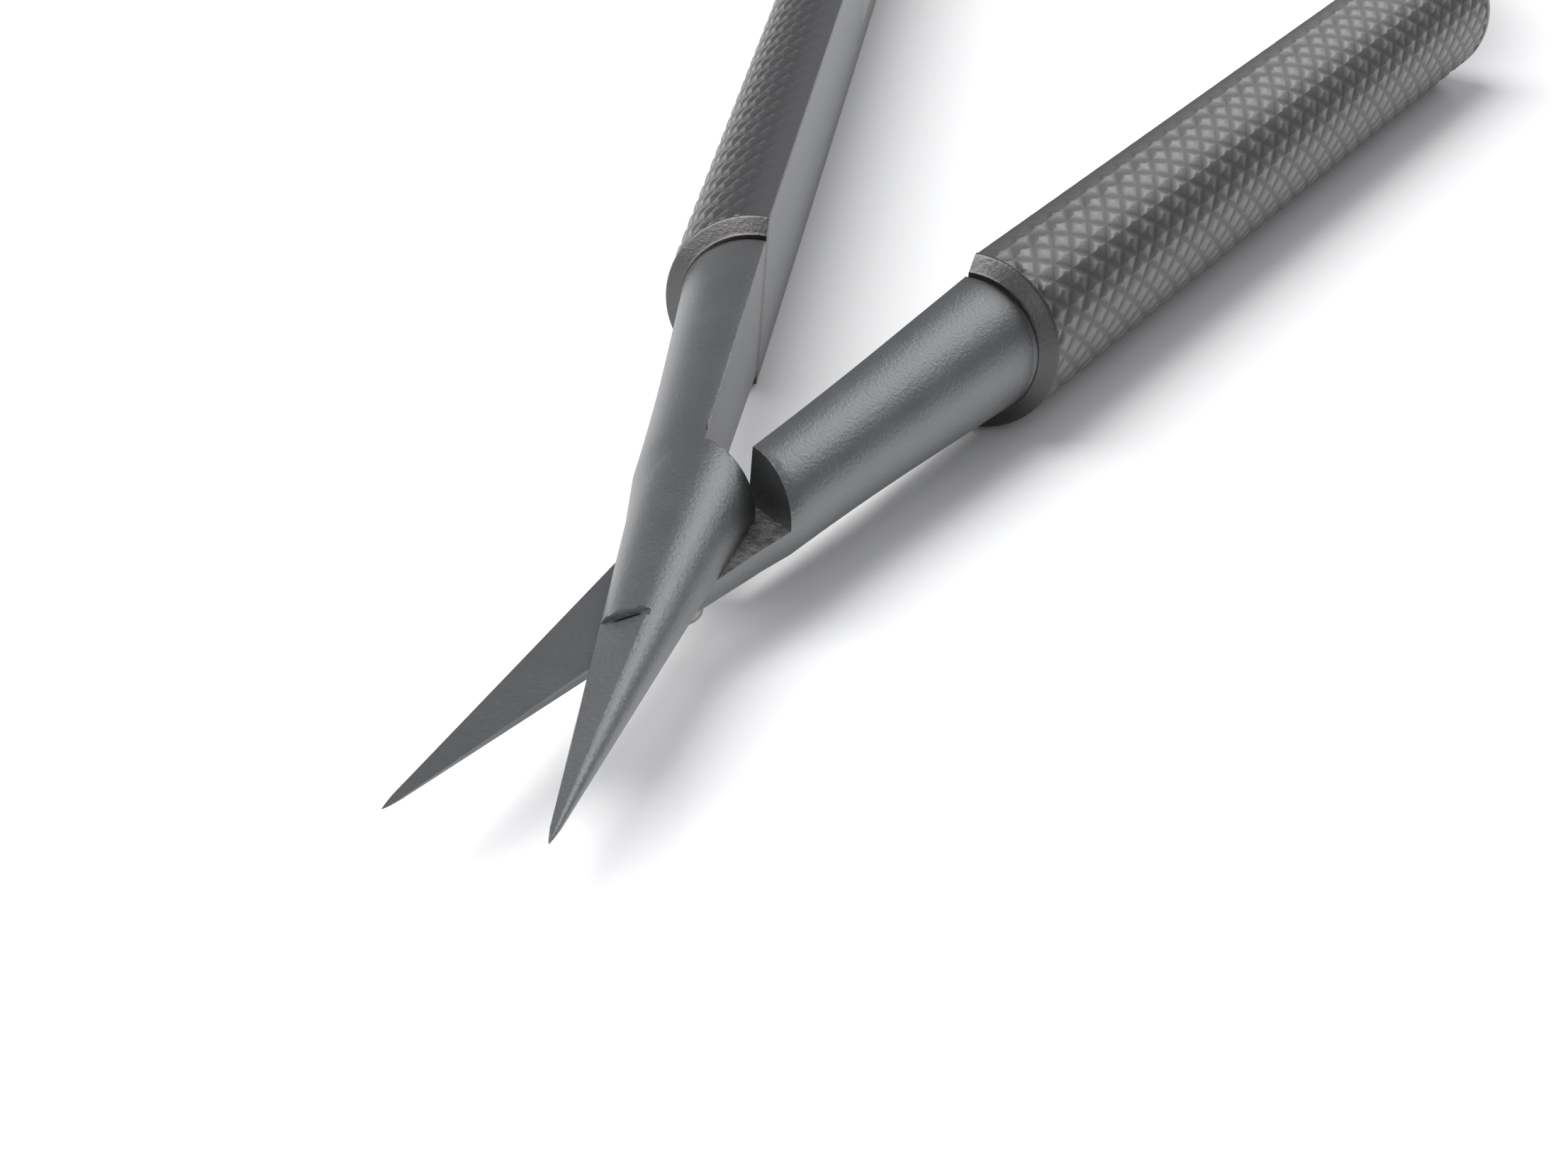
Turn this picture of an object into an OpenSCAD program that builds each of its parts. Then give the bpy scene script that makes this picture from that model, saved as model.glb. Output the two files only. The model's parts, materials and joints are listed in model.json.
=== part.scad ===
// Round-handled spring scissors for fine work, drawn open as they rest.
// X runs from the pivot towards the handles, Z along the pivot axis.
// The origin is on the pivot axis, at the outer face of the pivot screw's head.
// Each arm is drawn closed, lying along X, with the shear face at z = 0, as the
// upper arm. The lower arm is the same blank turned half round about X.

/* [Blades] */
// Distance from the pivot to the blade tip
blade_reach = 22; // [16:0.5:30]
// Radius of the blunt end of each tip
tip_r = 0.1; // [0.06:0.02:0.3]
// Radius of the closed joint, at its widest
joint_r = 2.47; // [2.2:0.01:3.2]
// Distance from the pivot to the widest part of the joint
joint_reach = 5.6; // [4.6:0.1:7]
// Distance from the pivot to the start of the ground bevel on each blade
bevel_start = 6.6; // [5:0.1:9]
// Height of the bevel's ridge, as an angle round the blade from its cutting edge
bevel_angle = 103; // [80:1:110]
// Height of the upright land under the bevel, as an angle in the same way
land_angle = 24; // [5:1:40]

/* [Neck] */
// Distance from the pivot to the notch that the other arm turns in
notch_reach = 7.2; // [6:0.1:9]
// Slope of the notch wall, from square across the arm
notch_slope = 32; // [30:1:36]
// Radius of the neck at the notch
neck_r_front = 2.2; // [2:0.05:2.4]
// Radius of the neck at the handle
neck_r_rear = 3.2; // [2.6:0.05:3.6]
// Length of the neck, from the notch to the groove in front of the handle
neck_length = 20.2; // [12:0.2:30]
// Width of the groove at the end of the neck
groove_w = 0.5; // [0.3:0.05:1]
// Depth of the groove below the neck
groove_depth = 0.15; // [0.05:0.05:0.3]
// Angle between the neck's flat face and the blade
flat_angle = 2.4; // [1.5:0.1:3]

/* [Handle] */
// Radius of the round handle that the two arms make
handle_r = 4; // [3.6:0.1:5]
// Distance from each arm's flat face to the middle of its round handle
flat_offset = 0.35; // [0:0.05:0.5]
// Length of the knurled handle
handle_length = 62; // [40:1:80]
// Length of the bevel at the handle's front end
front_bevel = 0.9; // [0.4:0.1:1.5]
// Length of the chamfer at the handle's rear end
rear_chamfer = 1; // [0.4:0.1:1.5]

/* [Springs] */
// Thickness of each leaf spring
leaf_t = 0.9; // [0.5:0.1:1.2]
// Width of each leaf spring
leaf_w = 5; // [3:0.2:6]
// Length of the leaf's seat in the handle
seat_length = 14; // [12:0.5:20]
// Length of the straight stretch from the handle to the bend
leaf_lead = 1.5; // [1:0.5:4]
// Radius of the bend in each leaf
bend_r = 22; // [12:1:30]
// Angle of the bend in each leaf, with the scissors at rest
bend_angle = 32.5; // [28:0.5:36]
// Radius of the hinge pin at the tail
tail_pin_r = 0.6; // [0.4:0.05:0.8]
// Wall of the knuckles round the tail pin
knuckle_wall = 0.65; // [0.5:0.05:1]
// Radial play of the tail pin in the upper leaf's knuckles
tail_play = 0.25; // [0.2:0.05:0.4]
// Gap between the knuckles, along the pin
knuckle_gap = 0.1; // [0.05:0.05:0.3]

/* [Fixings] */
// Radius of the pivot screw's shank
screw_r = 0.8; // [0.6:0.05:1]
// Length of thread in the upper arm
thread_depth = 1.3; // [0.9:0.05:1.4]
// Radius of the pivot screw's head
head_r = 1.45; // [1.2:0.05:1.5]
// Thickness of the pivot screw's head
head_t = 0.85; // [0.5:0.05:1]
// Depth of the lower arm under the head
head_seat = 1; // [0.8:0.05:1.2]
// Radius of the two key holes in the head
key_hole_r = 0.25; // [0.15:0.05:0.3]
// Distance of each key hole from the pivot axis
key_hole_reach = 0.85; // [0.7:0.05:1]
// Radius of the rivets that hold the springs
rivet_r = 0.8; // [0.5:0.05:1]
// Length of each rivet, from the flat face into its blind hole
rivet_length = 2.8; // [2:0.1:3.2]
// Distance from the handle's rear end to the rear rivet
rivet_inset = 3.5; // [3:0.1:5]
// Distance between the two rivets of a spring
rivet_pitch = 6; // [4:0.5:8]

/* [Fits] */
// How far each arm is open at rest, from closed
open_angle = 7.7; // [5:0.1:9]
// Radial clearance of the pivot screw in the lower arm
pivot_clearance = 0.04; // [0.02:0.01:0.08]
// Gap between the end of each joint half and the notch it closes into
notch_gap = 0.1; // [0.05:0.01:0.2]
// Gap between the two shear faces
shear_gap = 0.02; // [0.01:0.01:0.05]
// Gap round the head, the leaf seats and the rivets
seat_gap = 0.05; // [0.03:0.01:0.08]

/* [Hidden] */
$fn = 96;
big = 60;
key_hole_depth = head_t * 0.6;

// Blade and joint
cone_length = blade_reach + joint_reach;
cone_slope = (joint_r - tip_r) / cone_length;
apex_reach = blade_reach + tip_r / cone_slope;
joint_fade = joint_reach + 4;
function on_cone(angle) = [1, cone_slope * cos(angle), cone_slope * sin(angle)];
bevel_normal = cross(on_cone(bevel_angle), on_cone(land_angle));
bevel_tilt = acos(bevel_normal.z / norm(bevel_normal));
bevel_turn = atan2(bevel_normal.y, bevel_normal.x);

// Neck and handle, along the flat face from the notch
neck_slope = (neck_r_rear - neck_r_front) / neck_length;
neck_overlap = notch_reach * 0.7;
groove_end = neck_length + groove_w;
bevel_end = groove_end + front_bevel;
handle_end = bevel_end + handle_length;
groove_r = neck_r_rear - groove_depth;
chamfer_r = handle_r - rear_chamfer * 0.6;

// Springs, from the handle's rear end
rivet_front = handle_end - rivet_inset - rivet_pitch;
leaf_start = handle_end - seat_length;
bend_start = handle_end + leaf_lead;
leaf_mid = leaf_t / 2;
knuckle_r = tail_pin_r + tail_play + knuckle_wall;
// How far the eye's middle lies inside the strip's, which leaves room between the closed leaves
knuckle_drop = knuckle_r - leaf_mid - 0.1;
rest_flat = open_angle + flat_angle;
leaf_slant = bend_angle - rest_flat;
// Places with the arm at rest: the bend's end, then the straight run to the middle plane
bend_end_x = bend_start + bend_r * sin(bend_angle);
bend_end_y = leaf_mid - bend_r * (1 - cos(bend_angle));
notch_rest = [notch_reach * cos(open_angle), notch_reach * sin(open_angle)];
bend_end_rest_y = notch_rest.y + bend_end_x * sin(rest_flat) + bend_end_y * cos(rest_flat);
leaf_run = (bend_end_rest_y - knuckle_drop * cos(leaf_slant)) / sin(leaf_slant);
bend_steps = 26;
knuckle_z = (leaf_w - 2 * knuckle_gap) / 3;

// Heights
lap_z = head_seat + seat_gap + head_t + shear_gap / 2;

// Puts a solid on the flat face's line, from the notch to the handle's rear
module along_handle() {
    translate([notch_reach, 0, 0]) rotate([0, 0, flat_angle]) children();
}

module beyond_notch(side, gap) {
    // Everything on the handle's side of the notch wall, for y of one side
    translate([notch_reach + gap, 0, 0]) rotate([0, 0, side * notch_slope])
        translate([0, -big, -big]) cube([2 * big * 2, 2 * big, 2 * big]);
}

module x_cone(x1, x2, r1, r2) {
    translate([x1, 0, 0]) rotate([0, 90, 0]) cylinder(h = x2 - x1, r1 = r1, r2 = r2);
}

module blade_and_joint() {
    // The upper half of the joint, with the blade
    difference() {
        union() {
            x_cone(-blade_reach, joint_reach, tip_r, joint_r);
            x_cone(joint_reach, joint_fade, joint_r, neck_r_front);
        }
        translate([-big, -big, -2 * big]) cube(2 * big);
        blade_bevel();
        intersection() {
            beyond_notch(-1, 0);
            along_handle() translate([-big, -2 * big, -big]) cube([4 * big, 2 * big, 2 * big]);
        }
    }
}

module blade_bevel() {
    intersection() {
        translate([-apex_reach, 0, 0]) rotate([0, bevel_tilt, bevel_turn])
            translate([-big, -big, 0]) cube([2 * big, 2 * big, big]);
        translate([-apex_reach, -big, -big]) cube([apex_reach - bevel_start, 2 * big, 2 * big]);
    }
}

module handle_outline() {
    // Half outline of the neck and handle, turned about the flat face's middle line
    polygon([
        [0, -neck_overlap],
        [neck_r_front - neck_slope * neck_overlap, -neck_overlap],
        [neck_r_rear, neck_length],
        [groove_r, neck_length + groove_depth],
        [groove_r, groove_end],
        [handle_r, bevel_end],
        [handle_r, handle_end - rear_chamfer],
        [chamfer_r, handle_end],
        [0, handle_end],
    ]);
}

module neck_and_handle() {
    difference() {
        along_handle() intersection() {
            translate([0, flat_offset, 0]) rotate([0, 90, 0]) rotate_extrude() handle_outline();
            translate([-big, 0, -big]) cube([4 * big, big, 2 * big]);
        }
        // The notch, below the shear face and in front of its wall
        difference() {
            translate([-big, -big, -2 * big]) cube(2 * big);
            beyond_notch(1, notch_gap);
        }
    }
}

module leaf_seat() {
    // Recess in the flat face that the leaf lies in
    along_handle() translate([leaf_start - seat_gap, -1, -leaf_w / 2 - seat_gap])
        cube([seat_length + big, 1 + leaf_t + seat_gap, leaf_w + 2 * seat_gap]);
}

module at_rivets() {
    along_handle() for (i = [0:1])
        translate([rivet_front + i * rivet_pitch, 0, 0]) rotate([-90, 0, 0]) children();
}

module arm_blank() {
    difference() {
        union() {
            blade_and_joint();
            neck_and_handle();
        }
        leaf_seat();
        at_rivets() translate([0, 0, -1]) cylinder(h = 1 + rivet_length + seat_gap, r = rivet_r);
    }
}

module rivets_blank() {
    at_rivets() cylinder(h = rivet_length, r = rivet_r);
}

function leaf_edge(side) = [
    // One long edge of the leaf, seen along the pivot: the seat, the bend and the run to the tail
    [leaf_start, leaf_mid + side * leaf_mid],
    for (i = [0:bend_steps]) bend_point(bend_r + side * leaf_mid, bend_angle * i / bend_steps),
    bend_point(bend_r + side * leaf_mid, bend_angle)
        + leaf_run * [cos(bend_angle), -sin(bend_angle)],
];

function bend_point(r, turn) = [bend_start + r * sin(turn), leaf_mid - bend_r + r * cos(turn)];

function reversed(list) = [for (i = [len(list) - 1:-1:0]) list[i]];

module leaf_strip() {
    translate([0, 0, -leaf_w / 2]) linear_extrude(leaf_w)
        polygon(concat(leaf_edge(-1), reversed(leaf_edge(1))));
}

module at_tail() {
    along_handle() translate([bend_end_x, bend_end_y, 0]) rotate([0, 0, -bend_angle])
        translate([leaf_run, -knuckle_drop, 0]) children();
}

module leaf_blank(knuckles, pin_gap) {
    // knuckles are the thirds of the width that this leaf's tail keeps, from the bottom
    difference() {
        union() {
            along_handle() leaf_strip();
            at_tail() translate([0, 0, -leaf_w / 2]) cylinder(h = leaf_w, r = knuckle_r);
        }
        for (i = [0:2]) if (len(search(i, knuckles)) == 0) at_tail()
            translate([0, 0, -leaf_w / 2 + i * (knuckle_z + knuckle_gap) - knuckle_gap])
                cylinder(h = knuckle_z + 2 * knuckle_gap, r = knuckle_r + leaf_t);
        at_tail() translate([0, 0, -leaf_w]) cylinder(h = 2 * leaf_w, r = tail_pin_r + pin_gap);
        at_rivets() translate([0, 0, -1]) cylinder(h = leaf_t + 2, r = rivet_r + seat_gap);
    }
}

module place_upper() {
    translate([0, 0, lap_z + shear_gap / 2]) rotate([0, 0, open_angle]) children();
}

module place_lower() {
    translate([0, 0, lap_z - shear_gap / 2]) rotate([0, 0, -open_angle]) rotate([180, 0, 0]) children();
}

module upper_arm() {
    color([0.62, 0.63, 0.64]) place_upper() difference() {
        arm_blank();
        translate([0, 0, -1]) cylinder(h = 1 + thread_depth + seat_gap, r = screw_r);
    }
}

module lower_arm() {
    color([0.6, 0.61, 0.62]) place_lower() difference() {
        arm_blank();
        translate([0, 0, -1]) cylinder(h = joint_r + 2, r = screw_r + pivot_clearance);
        translate([0, 0, head_seat]) cylinder(h = joint_r, r = head_r + seat_gap);
    }
}

module pivot_screw() {
    color([0.7, 0.7, 0.72]) difference() {
        union() {
            cylinder(h = head_t, r = head_r);
            cylinder(h = lap_z + thread_depth, r = screw_r);
        }
        for (side = [-1, 1]) translate([side * key_hole_reach, 0, -1])
            cylinder(h = 1 + key_hole_depth, r = key_hole_r);
    }
}

module upper_leaf_spring() {
    color([0.66, 0.67, 0.68]) place_upper() leaf_blank([0, 2], tail_play);
}

module lower_leaf_spring() {
    color([0.66, 0.67, 0.68]) place_lower() leaf_blank([1], 0);
}

module upper_spring_rivets() {
    color([0.7, 0.7, 0.71]) place_upper() rivets_blank();
}

module lower_spring_rivets() {
    color([0.7, 0.7, 0.71]) place_lower() rivets_blank();
}

module tail_pin() {
    color([0.72, 0.72, 0.73]) place_lower() at_tail()
        translate([0, 0, -leaf_w / 2]) cylinder(h = leaf_w, r = tail_pin_r);
}

upper_arm();
lower_arm();
pivot_screw();
upper_leaf_spring();
lower_leaf_spring();
upper_spring_rivets();
lower_spring_rivets();
tail_pin();
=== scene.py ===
# %% [markdown]
# Spring scissors for fine work: two steel arms cross at a pivot and each arm is half of a round,
# knurled handle. The frame from the CAD model is loaded first, because it holds the true places of
# every piece. The lengths below are in millimetres, the unit such a tool is made in, and each
# finished piece is brought to metres once, at the end of its making.

# %% Load the frame
import json
import math

import bpy
import numpy as np
from mathutils import Matrix, Vector


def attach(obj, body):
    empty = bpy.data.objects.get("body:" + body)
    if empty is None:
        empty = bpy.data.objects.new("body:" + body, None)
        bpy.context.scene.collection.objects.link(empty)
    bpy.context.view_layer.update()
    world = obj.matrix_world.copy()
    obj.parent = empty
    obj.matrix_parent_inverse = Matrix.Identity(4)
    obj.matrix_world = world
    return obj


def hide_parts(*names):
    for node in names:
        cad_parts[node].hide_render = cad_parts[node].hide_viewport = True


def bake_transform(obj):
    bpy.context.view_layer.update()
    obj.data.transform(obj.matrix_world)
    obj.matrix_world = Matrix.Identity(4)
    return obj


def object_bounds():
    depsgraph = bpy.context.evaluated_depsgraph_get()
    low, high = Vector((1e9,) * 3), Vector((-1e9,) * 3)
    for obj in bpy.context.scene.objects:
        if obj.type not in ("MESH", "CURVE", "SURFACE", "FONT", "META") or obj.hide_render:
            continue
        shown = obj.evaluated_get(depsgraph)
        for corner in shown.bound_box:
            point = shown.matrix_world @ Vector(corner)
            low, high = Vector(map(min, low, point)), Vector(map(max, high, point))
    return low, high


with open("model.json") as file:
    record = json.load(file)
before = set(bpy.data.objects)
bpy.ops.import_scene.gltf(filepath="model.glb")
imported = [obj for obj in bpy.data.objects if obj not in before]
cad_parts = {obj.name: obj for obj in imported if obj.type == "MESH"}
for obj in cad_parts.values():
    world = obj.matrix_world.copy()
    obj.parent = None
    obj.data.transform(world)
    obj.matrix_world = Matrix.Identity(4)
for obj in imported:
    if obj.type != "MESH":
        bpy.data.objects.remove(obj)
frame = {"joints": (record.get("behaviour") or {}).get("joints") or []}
CAD_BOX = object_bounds()
MM = 0.001

JOINTS = {joint["name"]: joint for joint in frame["joints"]}
OPEN_ANGLE = -JOINTS["blade_pivot"]["range_deg"][0] / 2
LAP_Z = JOINTS["upper_leaf_bend"]["pos_m"][2] / MM
print("open", round(OPEN_ANGLE, 2), "degrees each way, shear face at", round(LAP_Z, 3), "mm")

# %% [markdown]
# The camera stands low, beyond the blade tips and on the lower arm's side, close enough for strong
# perspective. It could be aimed with a constraint, but a heading, a tilt and a small roll say the
# same thing in three numbers and leave nothing for a later view to undo.

# %% Camera
CAMERA_PLACE = Vector((-132.4, -38.8, 67.4)) * MM
CAMERA_HEADING = 14.49
CAMERA_TILT = -25.54
CAMERA_ROLL = 4.7
CAMERA_LENS = 92.52
CAMERA_SENSOR = 36.0


def rotated(heading, tilt, roll):
    """The camera's turn: it looks along -Z, with +Y upwards."""
    h, t, r = (math.radians(a) for a in (heading, tilt, roll))
    ahead = Vector((math.cos(h) * math.cos(t), math.sin(h) * math.cos(t), math.sin(t)))
    level_right = ahead.cross(Vector((0, 0, 1))).normalized()
    level_up = level_right.cross(ahead)
    right = level_right * math.cos(r) + level_up * math.sin(r)
    up = right.cross(ahead)
    return Matrix((right, up, -ahead)).transposed()


camera_data = bpy.data.cameras.new("camera")
camera_data.lens = CAMERA_LENS
camera_data.sensor_width = CAMERA_SENSOR
camera_data.clip_start = 0.005
camera_data.clip_end = 20
camera = bpy.data.objects.new("camera", camera_data)
bpy.context.collection.objects.link(camera)
camera.matrix_world = Matrix.LocRotScale(
    CAMERA_PLACE, rotated(CAMERA_HEADING, CAMERA_TILT, CAMERA_ROLL).to_quaternion(), None
)
bpy.context.scene.camera = camera
print("camera", round(camera.location.length, 3), "m from the pivot")

# %% [markdown]
# An operator works on whatever is selected, and loading the frame left its nodes selected. These
# helpers select exactly one object, or some of its faces, before anything else happens to it.

# %% Selecting and edit mode
def only(obj):
    """Selects this object alone and makes it active."""
    if bpy.context.mode != "OBJECT":
        bpy.ops.object.mode_set(mode="OBJECT")
    bpy.ops.object.select_all(action="DESELECT")
    obj.select_set(True)
    bpy.context.view_layer.objects.active = obj


def edit(obj, action="SELECT"):
    """Goes into edit mode with all faces selected, or none."""
    only(obj)
    bpy.ops.object.mode_set(mode="EDIT")
    bpy.ops.mesh.select_mode(type="FACE")
    bpy.ops.mesh.select_all(action=action)


def leave():
    bpy.ops.object.mode_set(mode="OBJECT")


def edit_faces(obj, chosen):
    """Goes into edit mode with only the faces selected that the test picks."""
    edit(obj, "DESELECT")
    leave()
    for face in obj.data.polygons:
        face.select = chosen(face)
    bpy.ops.object.mode_set(mode="EDIT")


# %% [markdown]
# Every solid starts as a primitive: a circle that is pushed along its axis ring by ring, as on a
# lathe, a round rod, or a block. The object's place goes into its mesh at once, so that each piece
# sits at the origin from the start, and the solids can be combined without surprises.

# %% Solids to start from
ROUND_SEGMENTS = 128


def new_piece(name):
    obj = bpy.context.active_object
    obj.name = name
    obj.data.name = name
    return obj


def applied(obj):
    """Moves the object's place, turn and size into its mesh."""
    only(obj)
    bpy.ops.object.transform_apply(location=True, rotation=True, scale=True)
    return obj


def outward(obj):
    """Points every face outwards."""
    edit(obj)
    bpy.ops.mesh.normals_make_consistent(inside=False)
    leave()
    return obj


def turned(name, rings, y=0.0):
    """A solid turned about a line along X: rings are (x, radius) pairs."""
    x, r = rings[0]
    bpy.ops.mesh.primitive_circle_add(
        vertices=ROUND_SEGMENTS, radius=r, fill_type="NGON",
        location=(x, y, 0), rotation=(0, math.pi / 2, 0),
    )
    obj = applied(new_piece(name))
    edit(obj)
    for next_x, next_r in rings[1:]:
        bpy.ops.mesh.extrude_region_move(TRANSFORM_OT_translate={"value": (next_x - x, 0, 0)})
        grow = next_r / r
        bpy.ops.transform.resize(value=(1, grow, grow), center_override=(next_x, y, 0))
        x, r = next_x, next_r
    leave()
    return outward(obj)


def rod(name, radius, start, end, segments=64):
    """A plain round rod between two points, used as a pin or as a drill."""
    start, end = Vector(start), Vector(end)
    turn = (end - start).to_track_quat("Z", "Y").to_euler()
    bpy.ops.mesh.primitive_cylinder_add(
        vertices=segments, radius=radius, depth=(end - start).length,
        location=(start + end) / 2, rotation=turn,
    )
    return applied(new_piece(name))


def block(name, low, high):
    """A plain block between two corners, used as stock or as a cutter."""
    low, high = Vector(low), Vector(high)
    bpy.ops.mesh.primitive_cube_add(size=1, location=(low + high) / 2)
    obj = new_piece(name)
    obj.scale = high - low
    return applied(obj)


# %% [markdown]
# A grinder leaves flats and a drill leaves holes. A flat is made by cutting the solid along a
# plane and closing the cut, and a hole or a notch by subtracting a second solid. The exact solver
# is slower than the fast one, but it copes with faces that lie almost on one another.

# %% Cutting and joining
def cut(obj, place, away):
    """Cuts the solid along a plane and drops the side that away points to."""
    edit(obj)
    bpy.ops.mesh.bisect(plane_co=place, plane_no=away, use_fill=True, clear_outer=True)
    leave()
    return obj


def combine(obj, other, operation):
    """Joins, subtracts or keeps what two solids share. The other solid is used up."""
    only(obj)
    modifier = obj.modifiers.new("combine", "BOOLEAN")
    modifier.operation = operation
    modifier.solver = "EXACT"
    modifier.object = other
    bpy.ops.object.modifier_apply(modifier=modifier.name)
    bpy.data.objects.remove(other, do_unlink=True)
    return obj


def minus(obj, *cutters):
    """Takes each cutter out of the solid, one after another."""
    for cutter in cutters:
        combine(obj, cutter, "DIFFERENCE")
    return obj


def cleaned(obj, flat=0.2, near=0.0005):
    """Merges what lies together and dissolves lines that bend nowhere."""
    edit(obj)
    bpy.ops.mesh.remove_doubles(threshold=near)
    bpy.ops.mesh.dissolve_limited(angle_limit=math.radians(flat))
    leave()
    return obj


# %% [markdown]
# No edge on a finished tool is quite sharp, and it is the rounded edge that catches the light. A
# bevel rounds all edges above an angle. Smooth shading alone would then bend the light across the
# flats, so the normals are weighted by face size, which keeps flats flat up to their edges.

# %% Edges and shading
def softened(obj, width, angle=30, segments=2):
    """Rounds the sharp edges a little, as tumbling and polishing do."""
    only(obj)
    modifier = obj.modifiers.new("soften", "BEVEL")
    modifier.width = width
    modifier.segments = segments
    modifier.limit_method = "ANGLE"
    modifier.angle_limit = math.radians(angle)
    modifier.use_clamp_overlap = True
    modifier.harden_normals = False
    modifier.miter_outer = "MITER_ARC"
    bpy.ops.object.modifier_apply(modifier=modifier.name)
    return obj


def smooth(obj, angle=50):
    """Shades smoothly below this angle, and lets the large faces decide."""
    only(obj)
    bpy.ops.object.shade_smooth_by_angle(angle=math.radians(angle))
    modifier = obj.modifiers.new("flats", "WEIGHTED_NORMAL")
    modifier.keep_sharp = True
    modifier.weight = 100
    bpy.ops.object.modifier_apply(modifier=modifier.name)
    return obj


# %% [markdown]
# Each arm is one forging. It is drawn lying closed along X: a turned neck and handle, cut flat
# down the middle, joined to a half-round joint and blade. The sizes come first, in the order in
# which they lie from the joint to the rear. The knurled band is sunk a little, because the
# diamonds are laid into it later and have to end level with the handle.

# %% Sizes of the neck and the handle
FLAT_ANGLE = 2.4
FLAT_OFFSET = 0.35
NOTCH_REACH = 7.2
NOTCH_SLOPE = 32.0
NOTCH_GAP = 0.1

NECK_R_FRONT = 2.2
NECK_R_REAR = 3.2
NECK_LENGTH = 20.2
NECK_ROOT_R = 2.0
NECK_ROOT_LENGTH = 0.7 * NOTCH_REACH
JOINT_BLEND = 0.2
JOINT_BLEND_LENGTH = 12
COVE_R = 0.6
COVE_RUN = 0.5

GROOVE_W = 0.5
GROOVE_START = NECK_LENGTH + 0.05
GROOVE_END = NECK_LENGTH + 0.7 * GROOVE_W
GROOVE_DEPTH = 0.12
GROOVE_SHIFT = 0.2

HANDLE_R = 4.0
FRONT_BEVEL = 0.9
HANDLE_START = NECK_LENGTH + GROOVE_W + FRONT_BEVEL
SHOULDER_END = HANDLE_START - 0.35
SHOULDER_ROUNDING = 0.25
HANDLE_LENGTH = 62.0
HANDLE_END = HANDLE_START + HANDLE_LENGTH
REAR_CHAMFER = 1.0
REAR_BAND = 0.3
REAR_R = HANDLE_R - 0.6 * REAR_CHAMFER

KNURL_DEPTH = 0.085
KNURL_START = SHOULDER_END
KNURL_END = HANDLE_END - REAR_CHAMFER - REAR_BAND
SUNK_STEP = 0.08
SUNK_R = HANDLE_R - KNURL_DEPTH - SUNK_STEP
print("handle from", round(HANDLE_START, 2), "to", round(HANDLE_END, 2), "mm behind the notch")

# %% [markdown]
# The neck and the handle are round about one line, so a chain of rings describes them, and the
# small fillets at the shoulder stay exact. The groove under the shoulder could be two more rings,
# but it dies out on the outside of the arm, which an off-centre ring cutter gives by itself.

# %% The turned neck and handle
OUTSIDE = 20
CUTTER_R = 8


def on_flat():
    """Turn and place from the flat face's line to the arm lying along X."""
    turn = Matrix.Rotation(math.radians(FLAT_ANGLE), 4, "Z")
    return Matrix.Translation((NOTCH_REACH, 0, 0)) @ turn


def fillet(x, r, size, start, end, steps):
    """Ring pairs round part of a circle about (x, r), from one angle to another."""
    return [
        (x + size * math.cos(a), r + size * math.sin(a))
        for a in np.radians(np.linspace(start, end, steps))
    ]


def handle_rings():
    slope = (NECK_R_REAR - NECK_R_FRONT) / NECK_LENGTH
    rings = [(-NECK_ROOT_LENGTH, NECK_ROOT_R)]
    for x in np.linspace(0, NECK_LENGTH - COVE_RUN, 12):
        blend = JOINT_BLEND * max(0, 1 - x / JOINT_BLEND_LENGTH) ** 2
        rings.append((x, NECK_R_FRONT + slope * x + blend))
    rings += fillet(NECK_LENGTH, NECK_R_REAR + COVE_R, COVE_R, -90, -40, 8)
    rings += fillet(SHOULDER_END, HANDLE_R - SHOULDER_ROUNDING, SHOULDER_ROUNDING, 140, 90, 7)
    rings += [(KNURL_START, HANDLE_R), (KNURL_START + SUNK_STEP, SUNK_R)]
    rings += [(KNURL_END - SUNK_STEP, SUNK_R), (KNURL_END, HANDLE_R)]
    rings += [(HANDLE_END - REAR_CHAMFER, HANDLE_R), (HANDLE_END, REAR_R)]
    return rings


def shoulder_groove():
    """A ring cutter with its hole off centre, so the groove dies out on the arm's outside."""
    y, shifted = FLAT_OFFSET, FLAT_OFFSET + GROOVE_SHIFT
    cutter = rod("groove", CUTTER_R, (GROOVE_START, y, 0), (GROOVE_END, y, 0), ROUND_SEGMENTS)
    hole = rod("hole", NECK_R_REAR - GROOVE_DEPTH,
               (GROOVE_START - 1, shifted, 0), (GROOVE_END + 1, shifted, 0), ROUND_SEGMENTS)
    return minus(cutter, hole)


def neck_and_handle():
    piece = turned("neck_and_handle", handle_rings(), y=FLAT_OFFSET)
    minus(piece, shoulder_groove())
    cut(piece, (0, 0, 0), (0, -1, 0))
    piece.data.transform(on_flat())
    notch = block("notch", (-3 * OUTSIDE, -3 * OUTSIDE, -OUTSIDE), (0, 3 * OUTSIDE, 0))
    wall = Matrix.Translation((NOTCH_REACH + NOTCH_GAP, 0, 0))
    notch.data.transform(wall @ Matrix.Rotation(math.radians(NOTCH_SLOPE), 4, "Z"))
    return minus(piece, notch)


# %% [markdown]
# The blade and the joint are one cone, round on the outside and flat on the shear face. A bevel is
# ground across the cone from an upright land to a ridge near the middle. All the points of the
# bevel lie on one plane through the cone's own point, so one cutter makes it along the whole
# blade. A narrow slot at its inner end gives the grinding wheel room to run out.

# %% Rings of the blade and its half of the joint
BLADE_REACH = 22.0
TIP_R = 0.1
TIP_ROUNDING = 0.3
JOINT_R = 2.47
JOINT_REACH = 5.6
CREST = 1.2
JOINT_FADE = 8.5
CONE_SLOPE = (JOINT_R - TIP_R) / (BLADE_REACH + JOINT_REACH)
APEX = Vector((-BLADE_REACH - TIP_R / CONE_SLOPE, 0, 0))


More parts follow.
